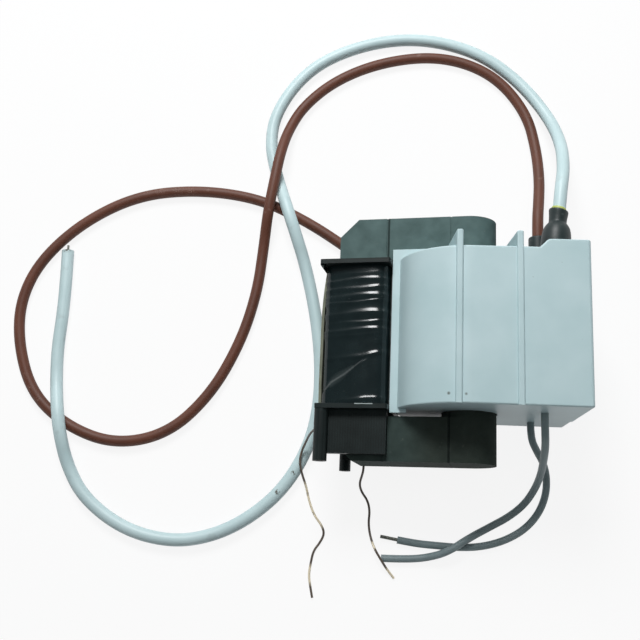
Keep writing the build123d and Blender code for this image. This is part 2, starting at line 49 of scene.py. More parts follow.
# camera: above the table, a little to the left and towards the bottom end
cameraView = {
    "place": (-57.4, -80.8, 372.4),
    "turn": (14.10, 2.52, 2.46),  # degrees about X, Y, Z
    "lens": 52.93,
}
lens = bpy.data.cameras.new("photoCamera")
lens.lens = cameraView["lens"]
lens.sensor_width = 36.0
lens.clip_start = 0.01
cameraBody = bpy.data.objects.new("photoCamera", lens)
cameraBody.location = Vector(cameraView["place"]) * mm
cameraBody.rotation_euler = Euler([math.radians(a) for a in cameraView["turn"]])
sceneNow.collection.objects.link(cameraBody)
sceneNow.camera = cameraBody


# flying leads: each follows one smooth spline through its route's control points
leadRoutes = {
    "white_lead": {
        "diameter": 5.0, "length": 559, "stiffness": "limp", "slot": "white_silicone",
        "withNodes": ["white_lead_strand"],
        "route": [
            (14.5, 52.4, 25.0), (15.5, 62.3, 25.0), (17.6, 72.6, 20.6), (18.6, 87.5, 11.4),
            (14.5, 103.0, 4.6), (3.0, 119.5, 2.5), (-13.5, 132.5, 2.5), (-36.0, 139.0, 2.5),
            (-58.0, 137.5, 2.5), (-79.5, 129.0, 2.5), (-92.5, 117.0, 2.5), (-101.0, 101.0, 2.5),
            (-102.0, 87.5, 2.5), (-99.5, 77.0, 2.5), (-96.5, 67.5, 3.6), (-93.0, 57.5, 8.0),
            (-89.0, 46.5, 7.6), (-84.5, 34.0, 2.7), (-79.5, 14.0, 2.5), (-76.5, -6.0, 2.5),
            (-76.5, -25.5, 2.5), (-80.5, -42.0, 2.5), (-89.5, -57.5, 2.5), (-102.5, -69.0, 2.5),
            (-116.5, -76.0, 2.5), (-132.0, -78.5, 2.5), (-150.5, -74.5, 2.5), (-167.0, -63.5, 2.5),
            (-175.0, -51.0, 2.7), (-178.0, -39.0, 7.2), (-180.0, -29.5, 7.2), (-183.0, -18.5, 2.7),
            (-184.2, -4.5, 2.5), (-183.6, 10.5, 2.5), (-183.8, 25.0, 2.5), (-184.4, 37.8, 2.5),
        ],
    },
    "brown_lead": {
        "diameter": 4.4, "length": 605, "stiffness": "limp", "slot": "brown_silicone",
        "withNodes": [],
        "route": [
            (8.0, 44.5, 15.0), (8.0, 52.5, 15.0), (9.0, 60.4, 12.4), (10.2, 72.4, 8.2),
            (9.8, 87.4, 3.8), (6.5, 104.0, 2.2), (-4.5, 119.5, 2.2), (-19.0, 128.0, 2.2),
            (-36.5, 130.8, 2.2), (-57.5, 127.0, 2.2), (-75.5, 118.5, 2.2), (-88.5, 106.5, 2.2),
            (-94.5, 95.0, 2.6), (-97.0, 82.5, 7.6), (-98.8, 69.0, 8.8), (-100.8, 55.0, 8.2),
            (-102.3, 42.0, 2.6), (-104.0, 22.0, 2.2), (-109.5, 1.0, 2.2), (-120.0, -20.5, 2.2),
            (-136.0, -37.0, 2.2), (-157.0, -42.0, 2.2), (-177.0, -35.5, 2.2), (-193.0, -22.5, 2.2),
            (-201.0, -1.5, 2.2), (-202.0, 17.0, 2.2), (-195.0, 34.5, 2.2), (-178.5, 51.5, 2.2),
            (-156.5, 63.5, 2.2), (-131.5, 66.5, 2.2), (-106.5, 63.5, 2.2), (-87.5, 55.0, 2.2),
            (-70.5, 44.5, 2.2), (-58.0, 35.5, 2.2),
        ],
    },
    "grey_lead_rear": {
        "diameter": 2.8, "length": 97, "stiffness": "medium", "slot": "grey_insulation",
        "withNodes": ["grey_conductor"],
        "route": [
            (5.0, -28.5, 11.0), (5.0, -34.5, 11.0), (7.6, -39.0, 8.6), (10.8, -42.8, 4.4),
            (12.6, -48.2, 1.7), (12.2, -55.2, 1.4), (9.2, -62.4, 1.4), (3.6, -68.6, 1.4),
            (-4.2, -73.0, 1.4), (-12.6, -75.4, 1.4), (-20.8, -76.0, 1.4), (-29.5, -75.6, 1.4),
            (-37.5, -75.2, 1.4), (-44.4, -74.1, 1.4),
        ],
    },
    "grey_lead_front": {
        "diameter": 2.8, "length": 110, "stiffness": "medium", "slot": "grey_insulation",
        "withNodes": [],
        "route": [
            (6.0, -28.5, 35.0), (6.0, -34.5, 35.0), (6.8, -39.8, 31.0), (7.6, -44.2, 22.5),
            (8.4, -48.4, 12.0), (7.4, -53.2, 4.8), (4.0, -58.8, 1.6), (-2.0, -63.8, 1.4),
            (-9.5, -68.0, 1.6), (-17.5, -72.4, 4.8), (-25.6, -78.0, 4.8), (-33.5, -80.4, 1.6),
            (-42.0, -81.2, 1.4), (-50.4, -81.2, 1.4),
        ],
    },
    "copper_lead_start": {
        "diameter": 0.9, "length": 86, "stiffness": "stiff", "slot": "enamelled_copper",
        "withNodes": [],
        "route": [
            (-73.0, -29.0, 24.6), (-73.0, -32.4, 24.6), (-75.8, -34.4, 20.6), (-78.8, -36.0, 14.2),
            (-80.6, -38.6, 8.8), (-82.3, -42.2, 6.4), (-83.0, -46.2, 6.2), (-82.0, -50.6, 4.6),
            (-80.2, -55.4, 1.0), (-79.0, -60.5, 0.5), (-76.8, -66.0, 0.5), (-73.6, -69.8, 0.5),
            (-72.4, -73.0, 0.5), (-74.0, -76.4, 0.5), (-76.4, -79.6, 0.5), (-77.2, -84.0, 0.5),
            (-77.8, -88.5, 0.5), (-77.0, -92.8, 0.5), (-76.1, -96.9, 0.5),
        ],
    },
    "copper_lead_finish": {
        "diameter": 0.9, "length": 51, "stiffness": "stiff", "slot": "enamelled_copper",
        "withNodes": [],
        "route": [
            (-58.1, -45.0, 7.2), (-58.1, -48.4, 7.2), (-58.6, -50.4, 5.0), (-59.6, -53.6, 2.6),
            (-58.6, -56.6, 0.7), (-56.2, -59.6, 0.5), (-55.2, -63.6, 0.5), (-55.6, -68.2, 0.5),
            (-54.9, -72.8, 1.0), (-53.2, -77.6, 3.9), (-50.2, -82.2, 3.9), (-47.8, -85.6, 1.2),
            (-45.3, -88.4, 0.5),
        ],
    },
}


def makeLead(nodeName, lead):
    # a round section carried along a quadratic NURBS spline with the route as control points
    points = np.array(lead["route"]) * mm
    curve = bpy.data.curves.new(nodeName + "_sheath", "CURVE")
    curve.dimensions = "3D"
    curve.bevel_depth = 1.0  # the points' own radius sets the thickness, and keeps the curve's box right
    curve.bevel_resolution = 14
    curve.use_fill_caps = True
    curve.resolution_u = 14
    spline = curve.splines.new("NURBS")
    spline.points.add(len(points) - 1)
    spline.points.foreach_set("co", np.column_stack([points, np.ones(len(points))]).ravel())
    spline.points.foreach_set("radius", np.full(len(points), lead["diameter"] * mm / 2))
    spline.order_u = 3
    spline.use_endpoint_u = True
    spline.use_smooth = True
    sheath = bpy.data.objects.new(nodeName + "_sheath", curve)
    sheath.cycles.shadow_terminator_geometry_offset = 0.4  # no steps where the light leaves the round
    sceneNow.collection.objects.link(sheath)
    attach(sheath, "root")
    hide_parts(nodeName)
    return sheath


leads = {name: makeLead(name, lead) for name, lead in leadRoutes.items()}
print("leads laid:", len(leads))


# the core, the coil and the card hang turned about the core's round leg
core = {"axis": (-20.0, 26.0), "turn": 10.15}  # x and z in mm, degrees
coreTurn = math.radians(core["turn"])


def toCore(places):
    # across and deep from the round leg's axis, in the core's own turned directions
    x, z = places[..., 0] - core["axis"][0], places[..., 2] - core["axis"][1]
    return x * math.cos(coreTurn) + z * math.sin(coreTurn), z * math.cos(coreTurn) - x * math.sin(coreTurn)


def fromCore(across, y, deep):
    # the way back, to x, y and z
    x = core["axis"][0] + across * math.cos(coreTurn) - deep * math.sin(coreTurn)
    z = core["axis"][1] + across * math.sin(coreTurn) + deep * math.cos(coreTurn)
    return np.stack(np.broadcast_arrays(x, y, z), -1)


def smoothStep(low, high, value):
    t = np.clip((value - low) / (high - low), 0, 1)
    return t * t * (3 - 2 * t)


def roundedLoop(halfWide, halfDeep, radii, sideCount, cornerCount):
    # points and outward normals of a rounded rectangle, counter-clockwise from its right side
    angle = np.linspace(0, math.pi / 2, cornerCount)
    signs = [(1, 1), (-1, 1), (-1, -1), (1, -1)]
    middles = [np.array([sx * (halfWide - r), sy * (halfDeep - r)]) for (sx, sy), r in zip(signs, radii)]
    places, normals = [], []
    for quarter in range(4):
        turned = angle + quarter * math.pi / 2
        normal = np.column_stack([np.cos(turned), np.sin(turned)])
        corner = middles[quarter] + radii[quarter] * normal
        ahead = (quarter + 1) % 4
        nextStart = middles[ahead] + radii[ahead] * normal[-1]
        share = np.linspace(0, 1, sideCount + 2)[1:-1, None]
        side = corner[-1] * (1 - share) + nextStart * share
        places += [corner, side]
        normals += [normal, np.repeat(normal[-1:], sideCount, 0)]
    return np.vstack(places), np.vstack(normals)


def meshFromGrid(name, grid, closedAcross):
    # quads between neighbouring points of a rows x columns grid, smooth shaded
    rows, columns = grid.shape[:2]
    row = np.arange(rows - 1)[:, None]
    column = np.arange(columns if closedAcross else columns - 1)[None, :]
    nextColumn = (column + 1) % columns
    near, far = row * columns, (row + 1) * columns
    corners = [near + column, near + nextColumn, far + nextColumn, far + column]
    quads = np.stack(corners, -1).reshape(-1, 4)
    mesh = bpy.data.meshes.new(name)
    mesh.vertices.add(rows * columns)
    mesh.vertices.foreach_set("co", grid.reshape(-1))
    mesh.loops.add(quads.size)
    mesh.loops.foreach_set("vertex_index", quads.reshape(-1))
    mesh.polygons.add(len(quads))
    mesh.polygons.foreach_set("loop_start", np.arange(0, quads.size, 4))
    mesh.update(calc_edges=True)
    mesh.validate()
    mesh.polygons.foreach_set("use_smooth", np.ones(len(mesh.polygons), bool))
    piece = bpy.data.objects.new(name, mesh)
    sceneNow.collection.objects.link(piece)
    return piece


sharpAngle = math.radians(40)  # edges bent by more than this stay crisp


def standFor(piece, nodeName):
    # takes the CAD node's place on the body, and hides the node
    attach(piece, "root")
    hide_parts(nodeName)
    return piece


def nodeVertices(name):
    mesh = nodes[name].data
    flat = np.empty(len(mesh.vertices) * 3)
    mesh.vertices.foreach_get("co", flat)
    return flat.reshape(-1, 3) / mm


# wrinkled tape over the primary: one closed skin round the coil
tape = {
    "rows": 320, "loopCounts": (60, 14),  # points up the coil, along each side and round each corner
    "corners": (4.4, 2.2, 2.4, 2.4),  # right front, left front, left back, right back
    "hem": 0.5,  # how far both edges run past the tape's node, up to the flanges
    "rim": 0.965,  # both edges turn in to this share of the section
    "bulge": 1.65, "bulgePeak": -36.3, "bulgeLeast": -0.2,
    "bulgeRadii": (80.0, 20.0),  # left and right of the peak
    "ridges": [  # crest's height at the right end, rise, half-thickness, share of the rise at the left end
        (23.3, 0.05, 0.70, 0.9), (20.9, 0.22, 0.80, 0.8), (17.5, 0.24, 0.85, 0.7), (14.5, 0.33, 1.15, 0.5),
        (12.1, 0.20, 0.70, 0.8), (7.8, 0.36, 1.25, 0.5), (4.3, 0.20, 0.75, 0.4), (1.3, 0.30, 1.10, 0.6),
        (-0.6, 0.10, 0.70, 1.0), (-24.8, 0.27, 1.05, 0.1),
    ],
    "slant": 0.06,  # the ridges climb towards the right
    "upperSide": 0.8, "lowerSide": 1.6,  # a ridge is steeper towards the top end
    "backShare": 0.25, "leftShare": 1.4,  # of a ridge's rise, on the coil's other sides
    "crease": [(-53.0, -10.4), (-38.3, -9.5), (-31.5, -7.9), (-28.0, -7.2)],
    "creaseRise": 0.3, "creaseHalf": 0.95,
    "flap": [(-54.0, -27.0), (-52.6, -23.0), (-49.6, -19.2), (-44.4, -16.2), (-38.2, -11.3), (-34.0, -9.0)],
    "flapLift": 0.4,
}


def makeTape():
    # rounded-rectangle section carried up the leg; each point is pushed out along the section's normal by
    # two half parabolas bulge - (u - peak)^2 / (2 radius) on the front plus ridges, a crease and a lapped end
    solid = nodeVertices("tape_wrap")
    across, deep = toCore(solid)
    left, right = across.min(), across.max()
    bottom, top = solid[:, 1].min() - tape["hem"], solid[:, 1].max() + tape["hem"]
    places, normals = roundedLoop((right - left) / 2, deep.max(), tape["corners"], *tape["loopCounts"])
    u = places[None, :, 0] + (left + right) / 2
    w = places[None, :, 1]
    y = np.linspace(bottom, top, tape["rows"])[:, None]
    front = smoothStep(0.05, 0.75, normals[None, :, 1])
    back = smoothStep(0.05, 0.75, -normals[None, :, 1])
    leftSide = smoothStep(0.3, 0.95, -normals[None, :, 0])
    ends = smoothStep(bottom, bottom + 3, y) * smoothStep(top, top - 3, y)
    off = u - tape["bulgePeak"]
    swell = tape["bulge"] - off ** 2 / (2 * np.where(off < 0, *tape["bulgeRadii"]))
    lift = front * np.maximum(swell, tape["bulgeLeast"]) * (0.96 + 0.04 * ends)
    drift = np.sin(0.21 * u + 0.7) + 0.5 * np.sin(0.47 * u - 1.1)  # slow change along a ridge
    for height, rise, half, leftShare in tape["ridges"]:
        line = height + tape["slant"] * (u - right) + 0.18 * np.sin(0.33 * u + height)
        reach = leftShare + (1 - leftShare) * smoothStep(left + 2, right - 9, u)
        d = (y - line) / half
        fold = np.exp(-(d / np.where(d > 0, tape["upperSide"], tape["lowerSide"])) ** 2)
        lift = lift + rise * (reach + 0.06 * drift) * fold * (front + tape["backShare"] * back)
        lift = lift + tape["leftShare"] * rise * leftShare * fold * leftSide
    creaseLine = np.interp(u, *np.array(tape["crease"]).T)
    crease = np.exp(-((y - creaseLine) / tape["creaseHalf"]) ** 2)
    crease = crease * (0.45 + 0.55 * smoothStep(-46.0, -34.0, u))
    flapLine = np.interp(u, *np.array(tape["flap"]).T)
    flap = smoothStep(0.7, -0.5, y - flapLine) * (1 - smoothStep(-39.0, -33.5, u))
    lift = lift + front * (tape["creaseRise"] * crease + tape["flapLift"] * flap)
    skin = fromCore(u + lift * normals[None, :, 0], y, w + lift * normals[None, :, 1])
    middle = skin.mean(1, keepdims=True)
    inner = middle + (skin - middle) * tape["rim"]
    grid = np.concatenate([inner[:1], skin, inner[-1:]])[:, ::-1] * mm
    return standFor(meshFromGrid("primary_tape", grid, True), "tape_wrap")


# the turns under the tape: a plain sleeve with the tape's own corners
winding = {"inset": 0.3, "innerInset": 0.9, "loopCounts": (20, 14)}  # mm inside the winding's node


def makeWinding():
    # two rounded rectangles carried up the leg, the inner one closing both ends inwards
    solid = nodeVertices("primary_winding")
    across, deep = toCore(solid)
    left, right = across.min(), across.max()
    bottom, top = solid[:, 1].min(), solid[:, 1].max()
    insets = (winding["innerInset"], winding["inset"], winding["inset"], winding["innerInset"])
    rows = []
    for inset, y in zip(insets, (bottom, bottom, top, top)):
        halfWide, halfDeep = (right - left) / 2 - inset, deep.max() - inset
        places, _ = roundedLoop(halfWide, halfDeep, tape["corners"], *winding["loopCounts"])
        rows.append(fromCore(places[:, 0] + (left + right) / 2, y, places[:, 1]))
    piece = meshFromGrid("primary_turns", np.stack(rows)[:, ::-1] * mm, True)
    piece.data.set_sharp_from_angle(angle=sharpAngle)
    return standFor(piece, "primary_winding")


# insulation card at the coil's left side: close to the tape at its top, standing off lower down
card = {
    "innerU": -52.75, "halfDeep": 11.0, "bottom": -26.9, "top": 25.2, "thickness": 1.0, "rows": 60,
    "outerU": [  # height, outer side
        (-26.9, -54.45), (-18.0, -54.65), (-5.0, -54.6), (3.0, -54.65), (10.0, -54.5), (17.0, -54.05),
        (21.0, -53.6), (25.2, -53.1),
    ],
}


def makeCard():
    # closed outline (inner side up, outer side down) carried across the coil's depth
    y = np.linspace(card["bottom"], card["top"], card["rows"])
    outer = np.interp(y, *np.array(card["outerU"]).T)
    outer[3:-3] = np.convolve(outer, np.ones(7) / 7, "valid")  # rounds the bends
    inner = np.minimum(outer + card["thickness"], card["innerU"])
    outline = np.concatenate([inner, outer[::-1]])
    spine = np.concatenate([(inner + outer) / 2, (inner + outer)[::-1] / 2])
    heights = np.concatenate([y, y[::-1]])
    deep = card["halfDeep"]
    sides = ((spine, -deep), (outline, -deep), (outline, deep), (spine, deep))
    rows = [fromCore(u, heights, w) for u, w in sides]
    piece = meshFromGrid("coil_card", np.stack(rows) * mm, True)
    piece.data.set_sharp_from_angle(angle=sharpAngle)
    return standFor(piece, "insulation_card")


# moulded boot and the ring in its mouth: turned profiles leaning with the lead, the mouth cut at a slant
boot = {
    "profile": [  # distance along the exit, radius
        (0.0, 5.8), (9.0, 5.8), (11.0, 5.74), (13.0, 5.58), (14.6, 5.3), (15.8, 4.95), (16.7, 4.5),
        (17.3, 4.05), (17.8, 3.65), (18.2, 3.42), (18.8, 3.4), (20.5, 3.5), (22.2, 3.7), (22.9, 3.78),
        (23.25, 3.65), (23.4, 2.6),
    ],
    "ring": [(22.6, 2.5), (22.7, 2.86), (24.25, 2.84), (24.45, 2.7), (24.5, 2.5)],
    "profileRows": 140, "ringRows": 24, "around": 64,
    "foot": (11.9, 29.1, 25.0), "lean": 6.0, "slant": 0.12, "slantOver": (17.5, 23.0),
}


def makeTurned(name, profile, rows):
    # radius as a function of the distance along the exit, turned about the leaning axis
    along, radius = np.array(profile).T
    steps = np.linspace(along[0], along[-1], rows)
    curve = np.interp(steps, along, radius)
    blend = np.convolve(np.pad(curve, 2, mode="edge"), np.array([1, 2, 3, 2, 1]) / 9, "valid")
    blend[-3:] = curve[-3:]
    angle = np.linspace(0, 2 * math.pi, boot["around"], endpoint=False)
    lean = math.radians(boot["lean"])
    axis = np.array([math.sin(lean), math.cos(lean), 0.0])
    side = np.array([math.cos(lean), -math.sin(lean), 0.0])
    up = np.array([0.0, 0.0, 1.0])
    ring = np.cos(angle)[:, None] * side + np.sin(angle)[:, None] * up
    slant = boot["slant"] * smoothStep(*boot["slantOver"], steps)
    place = steps[:, None] - slant[:, None] * blend[:, None] * np.cos(angle)
    grid = np.array(boot["foot"]) + place[..., None] * axis + blend[:, None, None] * ring
    return meshFromGrid(name, grid[:, ::-1] * mm, True)


def makeBoot():
    piece = makeTurned("white_boot", boot["profile"], boot["profileRows"])
    return standFor(piece, "white_lead_boot")


def makeRing():
    piece = makeTurned("mouth_ring", boot["ring"], boot["ringRows"])
    return standFor(piece, "boot_ring")


pieces = {
    "tape_wrap": makeTape(), "primary_winding": makeWinding(), "insulation_card": makeCard(),
    "white_lead_boot": makeBoot(), "boot_ring": makeRing(),
}
print("tape, winding, card, boot and ring made")


# material helpers
def linear(red, green, blue):
    # sRGB bytes to the linear colour that the shader takes
    value = np.array([red, green, blue]) / 255
    return tuple(np.where(value <= 0.04045, value / 12.92, ((value + 0.055) / 1.055) ** 2.4)) + (1.0,)


def addNode(tree, kind, **settings):
    node = tree.nodes.new("ShaderNode" + kind)
    for key, value in settings.items():
        setattr(node, key, value)
    return node


def wire(tree, source, target):
    tree.links.new(source, target)


def newGroup(name, takes, gives):
    # takes and gives list the socket names with their kinds
    group = bpy.data.node_groups.new(name, "ShaderNodeTree")
    for socket, kind in takes:
        group.interface.new_socket(socket, in_out="INPUT", socket_type="NodeSocket" + kind)
    for socket, kind in gives:
        group.interface.new_socket(socket, in_out="OUTPUT", socket_type="NodeSocket" + kind)
    return group, group.nodes.new("NodeGroupInput"), group.nodes.new("NodeGroupOutput")


def makeGrainGroup():
    # a slow mottle and a fine grain, both between 0 and 1
    group, takes, gives = newGroup(
        "surfaceGrain", [("Vector", "Vector"), ("Mottle Scale", "Float"), ("Grain Scale", "Float")],
        [("Mottle", "Float"), ("Grain", "Float")],
    )
    slow = addNode(group, "TexNoise")
    slow.inputs["Detail"].default_value = 3.0
    fine = addNode(group, "TexNoise")
    fine.inputs["Detail"].default_value = 2.0
    wire(group, takes.outputs["Vector"], slow.inputs["Vector"])
    wire(group, takes.outputs["Vector"], fine.inputs["Vector"])
    wire(group, takes.outputs["Mottle Scale"], slow.inputs["Scale"])
    wire(group, takes.outputs["Grain Scale"], fine.inputs["Scale"])
    wire(group, slow.outputs["Fac"], gives.inputs["Mottle"])
    wire(group, fine.outputs["Fac"], gives.inputs["Grain"])
    return group


def makeSpotGroup():
    # scattered marks: noise above a threshold, soft at the edge
    group, takes, gives = newGroup(
        "scatteredMarks", [("Vector", "Vector"), ("Scale", "Float"), ("Threshold", "Float")],
        [("Mask", "Float")],
    )
    noise = addNode(group, "TexNoise")
    noise.inputs["Detail"].default_value = 4.0
    limit = addNode(group, "Math", operation="SUBTRACT")
    sharpen = addNode(group, "Math", operation="MULTIPLY", use_clamp=True)
    sharpen.inputs[1].default_value = 14.0
    wire(group, takes.outputs["Vector"], noise.inputs["Vector"])
    wire(group, takes.outputs["Scale"], noise.inputs["Scale"])
    wire(group, noise.outputs["Fac"], limit.inputs[0])
    wire(group, takes.outputs["Threshold"], limit.inputs[1])
    wire(group, limit.outputs[0], sharpen.inputs[0])
    wire(group, sharpen.outputs[0], gives.inputs["Mask"])
    return group


def makePlaceGroup():
    # 1 at one place on the object, falling to 0 at a reach from it
    group, takes, gives = newGroup(
        "markAtPlace", [("Vector", "Vector"), ("Place", "Vector"), ("Reach", "Float")], [("Mask", "Float")],
    )
    distance = addNode(group, "VectorMath", operation="DISTANCE")
    ratio = addNode(group, "Math", operation="DIVIDE")
    fall = addNode(group, "Math", operation="SUBTRACT", use_clamp=True)
    fall.inputs[0].default_value = 1.0
    wire(group, takes.outputs["Vector"], distance.inputs[0])
    wire(group, takes.outputs["Place"], distance.inputs[1])
    wire(group, distance.outputs["Value"], ratio.inputs[0])
    wire(group, takes.outputs["Reach"], ratio.inputs[1])
    wire(group, ratio.outputs[0], fall.inputs[1])
    wire(group, fall.outputs[0], gives.inputs["Mask"])
    return group


grainGroup = makeGrainGroup()
spotGroup = makeSpotGroup()
placeGroup = makePlaceGroup()
print("node groups built")


def mixColour(tree, factor, first, second):
    # colour sockets or plain colours, blended by a mask
    mix = addNode(tree, "Mix", data_type="RGBA")
    wire(tree, factor, mix.inputs[0])
    for socket, value in ((mix.inputs[6], first), (mix.inputs[7], second)):
        if isinstance(value, tuple):
            socket.default_value = value
        else:
            wire(tree, value, socket)
    return mix.outputs[2]


def spread(tree, value, low, high):
    # carries 0..1 onto low..high
    span = addNode(tree, "MapRange")
    wire(tree, value, span.inputs["Value"])
    span.inputs["To Min"].default_value = low
    span.inputs["To Max"].default_value = high
    return span.outputs["Result"]


def combine(tree, operation, first, second, clamp=False):
    node = addNode(tree, "Math", operation=operation, use_clamp=clamp)
    for socket, value in zip(node.inputs, (first, second)):
        if isinstance(value, (int, float)):
            socket.default_value = value
        else:
            wire(tree, value, socket)
    return node.outputs[0]


def scattered(tree, vector, scale, threshold):
    node = addNode(tree, "Group", node_tree=spotGroup)
    wire(tree, vector, node.inputs["Vector"])
    node.inputs["Scale"].default_value = scale
    node.inputs["Threshold"].default_value = threshold
    return node.outputs["Mask"]


def atPlaces(tree, vector, places):
    # the strongest of several place marks, each (x, y, z, reach) in mm
    total = None
    for x, y, z, reach in places:
        node = addNode(tree, "Group", node_tree=placeGroup)
        wire(tree, vector, node.inputs["Vector"])
        node.inputs["Place"].default_value = (x * mm, y * mm, z * mm)
        node.inputs["Reach"].default_value = reach * mm
        mask = node.outputs["Mask"]
        total = mask if total is None else combine(tree, "MAXIMUM", total, mask)
    return total


def startFinish(name, look):
    # Principled shader with a mottled colour, a varied roughness and a fine bump, all on object coordinates
    material = bpy.data.materials.new(name)
    material.use_nodes = True
    tree = material.node_tree
    shader = tree.nodes["Principled BSDF"]
    place = addNode(tree, "TexCoord").outputs["Object"]
    grain = addNode(tree, "Group", node_tree=grainGroup)
    wire(tree, place, grain.inputs["Vector"])
    grain.inputs["Mottle Scale"].default_value = look["mottleScale"]
    grain.inputs["Grain Scale"].default_value = look["grainScale"]
    mottle = grain.outputs["Mottle"]
    colour = mixColour(tree, spread(tree, mottle, -0.6, 1.6), linear(*look["dark"]), linear(*look["light"]))
    wire(tree, spread(tree, mottle, *look["roughness"]), shader.inputs["Roughness"])
    bump = addNode(tree, "Bump")
    bump.inputs["Strength"].default_value = look["bump"]
    bump.inputs["Distance"].default_value = 0.1 * mm
    wire(tree, grain.outputs["Grain"], bump.inputs["Height"])
    wire(tree, bump.outputs["Normal"], shader.inputs["Normal"])
    wire(tree, colour, shader.inputs["Base Color"])
    return material, tree, shader, place, colour, grain, bump


def dress(piece, material):
    piece.data.materials.clear()
    piece.data.materials.append(material)


def recolour(tree, shader, factor, colour, over):
    wire(tree, mixColour(tree, factor, colour, over), shader.inputs["Base Color"])


housingLook = {
    "dark": (178, 204, 208), "light": (190, 213, 217), "mottleScale": 60, "grainScale": 2600,
    "roughness": (0.36, 0.5), "bump": 0.10, "speck": (96, 104, 100),
    "specks": (900, 0.755), "speckShare": 0.7,  # scale and threshold of the scattered marks
    "markPlaces": [(-29.7, -25.1, 51.0, 0.8), (-23.7, -25.3, 51.6, 0.7), (-38.6, -25.8, 47.0, 0.8)],
}


def housingFinish():
    material, tree, shader, place, colour, _, _ = startFinish("housing_resin", housingLook)
    specks = scattered(tree, place, *housingLook["specks"])
    specks = combine(tree, "MULTIPLY", specks, housingLook["speckShare"])
    marks = atPlaces(tree, place, housingLook["markPlaces"])
    worn = combine(tree, "MAXIMUM", specks, spread(tree, marks, 0.0, 1.6), True)
    recolour(tree, shader, worn, colour, linear(*housingLook["speck"]))
    return material


ferriteLook = {
    "dark": (76, 95, 94), "light": (92, 113, 112), "mottleScale": 170, "grainScale": 2200,
    "roughness": (0.6, 0.75), "bump": 0.3, "specular": 0.04,
    "rub": (128, 134, 127), "rubs": (420, 0.68), "rubShare": 0.12,
    "lowerHalfShade": (0.43, 0.405, 0.38),  # painted shade: the lower half is darker and warmer where the housing's shadow falls, most of all towards its right end
    "lowerRightShade": (0.34, 0.285, 0.25),  # most of all towards its right end
    "shadeDeepens": (-45.0, -34.0),
    "grooves": [(-29.9, 1), (-6.45, -1)],  # place along the yokes, and which yoke
    # half width, colour and share of the painted shade in the grooves
    "grooveHalf": 0.42, "grooveShade": (26, 32, 31), "grooveShadeShare": 0.75,
    "glints": [(-66.8, -46.6, 27.7, 0.7), (-65.9, -47.4, 27.9, 0.7), (-64.9, -48.1, 28.0, 0.7)],
    "glint": (150, 160, 154), "glintShare": 0.9,
}


def ferriteFinish():
    material, tree, shader, place, colour, _, _ = startFinish("ferrite", ferriteLook)
    shader.inputs["Specular IOR Level"].default_value = ferriteLook["specular"]
    axes = addNode(tree, "SeparateXYZ")
    wire(tree, place, axes.inputs[0])
    # painted shade on the lower yoke, deepening towards its right end under the housing
    lower = combine(tree, "LESS_THAN", axes.outputs["Y"], -1.0 * mm)
    dark = addNode(tree, "Mix", data_type="RGBA", blend_type="MULTIPLY")
    wire(tree, lower, dark.inputs[0])
    wire(tree, colour, dark.inputs[6])
    ramp = addNode(tree, "MapRange")
    wire(tree, axes.outputs["X"], ramp.inputs["Value"])
    ramp.inputs["From Min"].default_value = ferriteLook["shadeDeepens"][0] * mm
    ramp.inputs["From Max"].default_value = ferriteLook["shadeDeepens"][1] * mm
    leftShare = ferriteLook["lowerHalfShade"] + (1.0,)
    rightShare = ferriteLook["lowerRightShade"] + (1.0,)
    wire(tree, mixColour(tree, ramp.outputs["Result"], leftShare, rightShare), dark.inputs[7])
    rubs = scattered(tree, place, *ferriteLook["rubs"])
    rubs = combine(tree, "MULTIPLY", rubs, ferriteLook["rubShare"])
    colour = mixColour(tree, rubs, dark.outputs[2], linear(*ferriteLook["rub"]))
    # painted shade in the grooves beside the legs; distance along the yokes in the core's turned frame
    fromLeg = [combine(tree, "SUBTRACT", axes.outputs[s], a * mm) for s, a in zip("XZ", core["axis"])]
    shares = (math.cos(coreTurn), math.sin(coreTurn))
    along = combine(tree, "ADD", *[combine(tree, "MULTIPLY", d, share) for d, share in zip(fromLeg, shares)])
    for where, end in ferriteLook["grooves"]:
        away = combine(tree, "ABSOLUTE", combine(tree, "SUBTRACT", along, where * mm), 0.0)
        inside = combine(tree, "LESS_THAN", away, ferriteLook["grooveHalf"] * mm)
        half = combine(tree, "GREATER_THAN", combine(tree, "MULTIPLY", axes.outputs["Y"], end), 0.0)
        line = combine(tree, "MULTIPLY", combine(tree, "MULTIPLY", inside, half), ferriteLook["grooveShadeShare"])
        colour = mixColour(tree, line, colour, linear(*ferriteLook["grooveShade"]))
    glints = atPlaces(tree, place, ferriteLook["glints"])
    glints = combine(tree, "MULTIPLY", glints, ferriteLook["glintShare"])
    recolour(tree, shader, glints, colour, linear(*ferriteLook["glint"]))
    return material


bobbinLook = {
    "dark": (15, 25, 25), "light": (23, 35, 35), "mottleScale": 120, "grainScale": 2200,
    "roughness": (0.42, 0.56), "bump": 0.3, "specular": 0.28,
    "skirtTop": -30.2, "lineScale": 330, "lines": 0.3, "drawn": (7, 11, 11),  # draw lines below this height
    "edgeHighlight": (176, 188, 188), "edgeHighlightShare": 0.85,  # painted highlight along the foot's front top edge
    "edgeHighlightFrom": (-62.2, -27.55), "edgeHighlightTo": (-55.6, -27.0), "edgeHighlightAbove": 30.0,
}


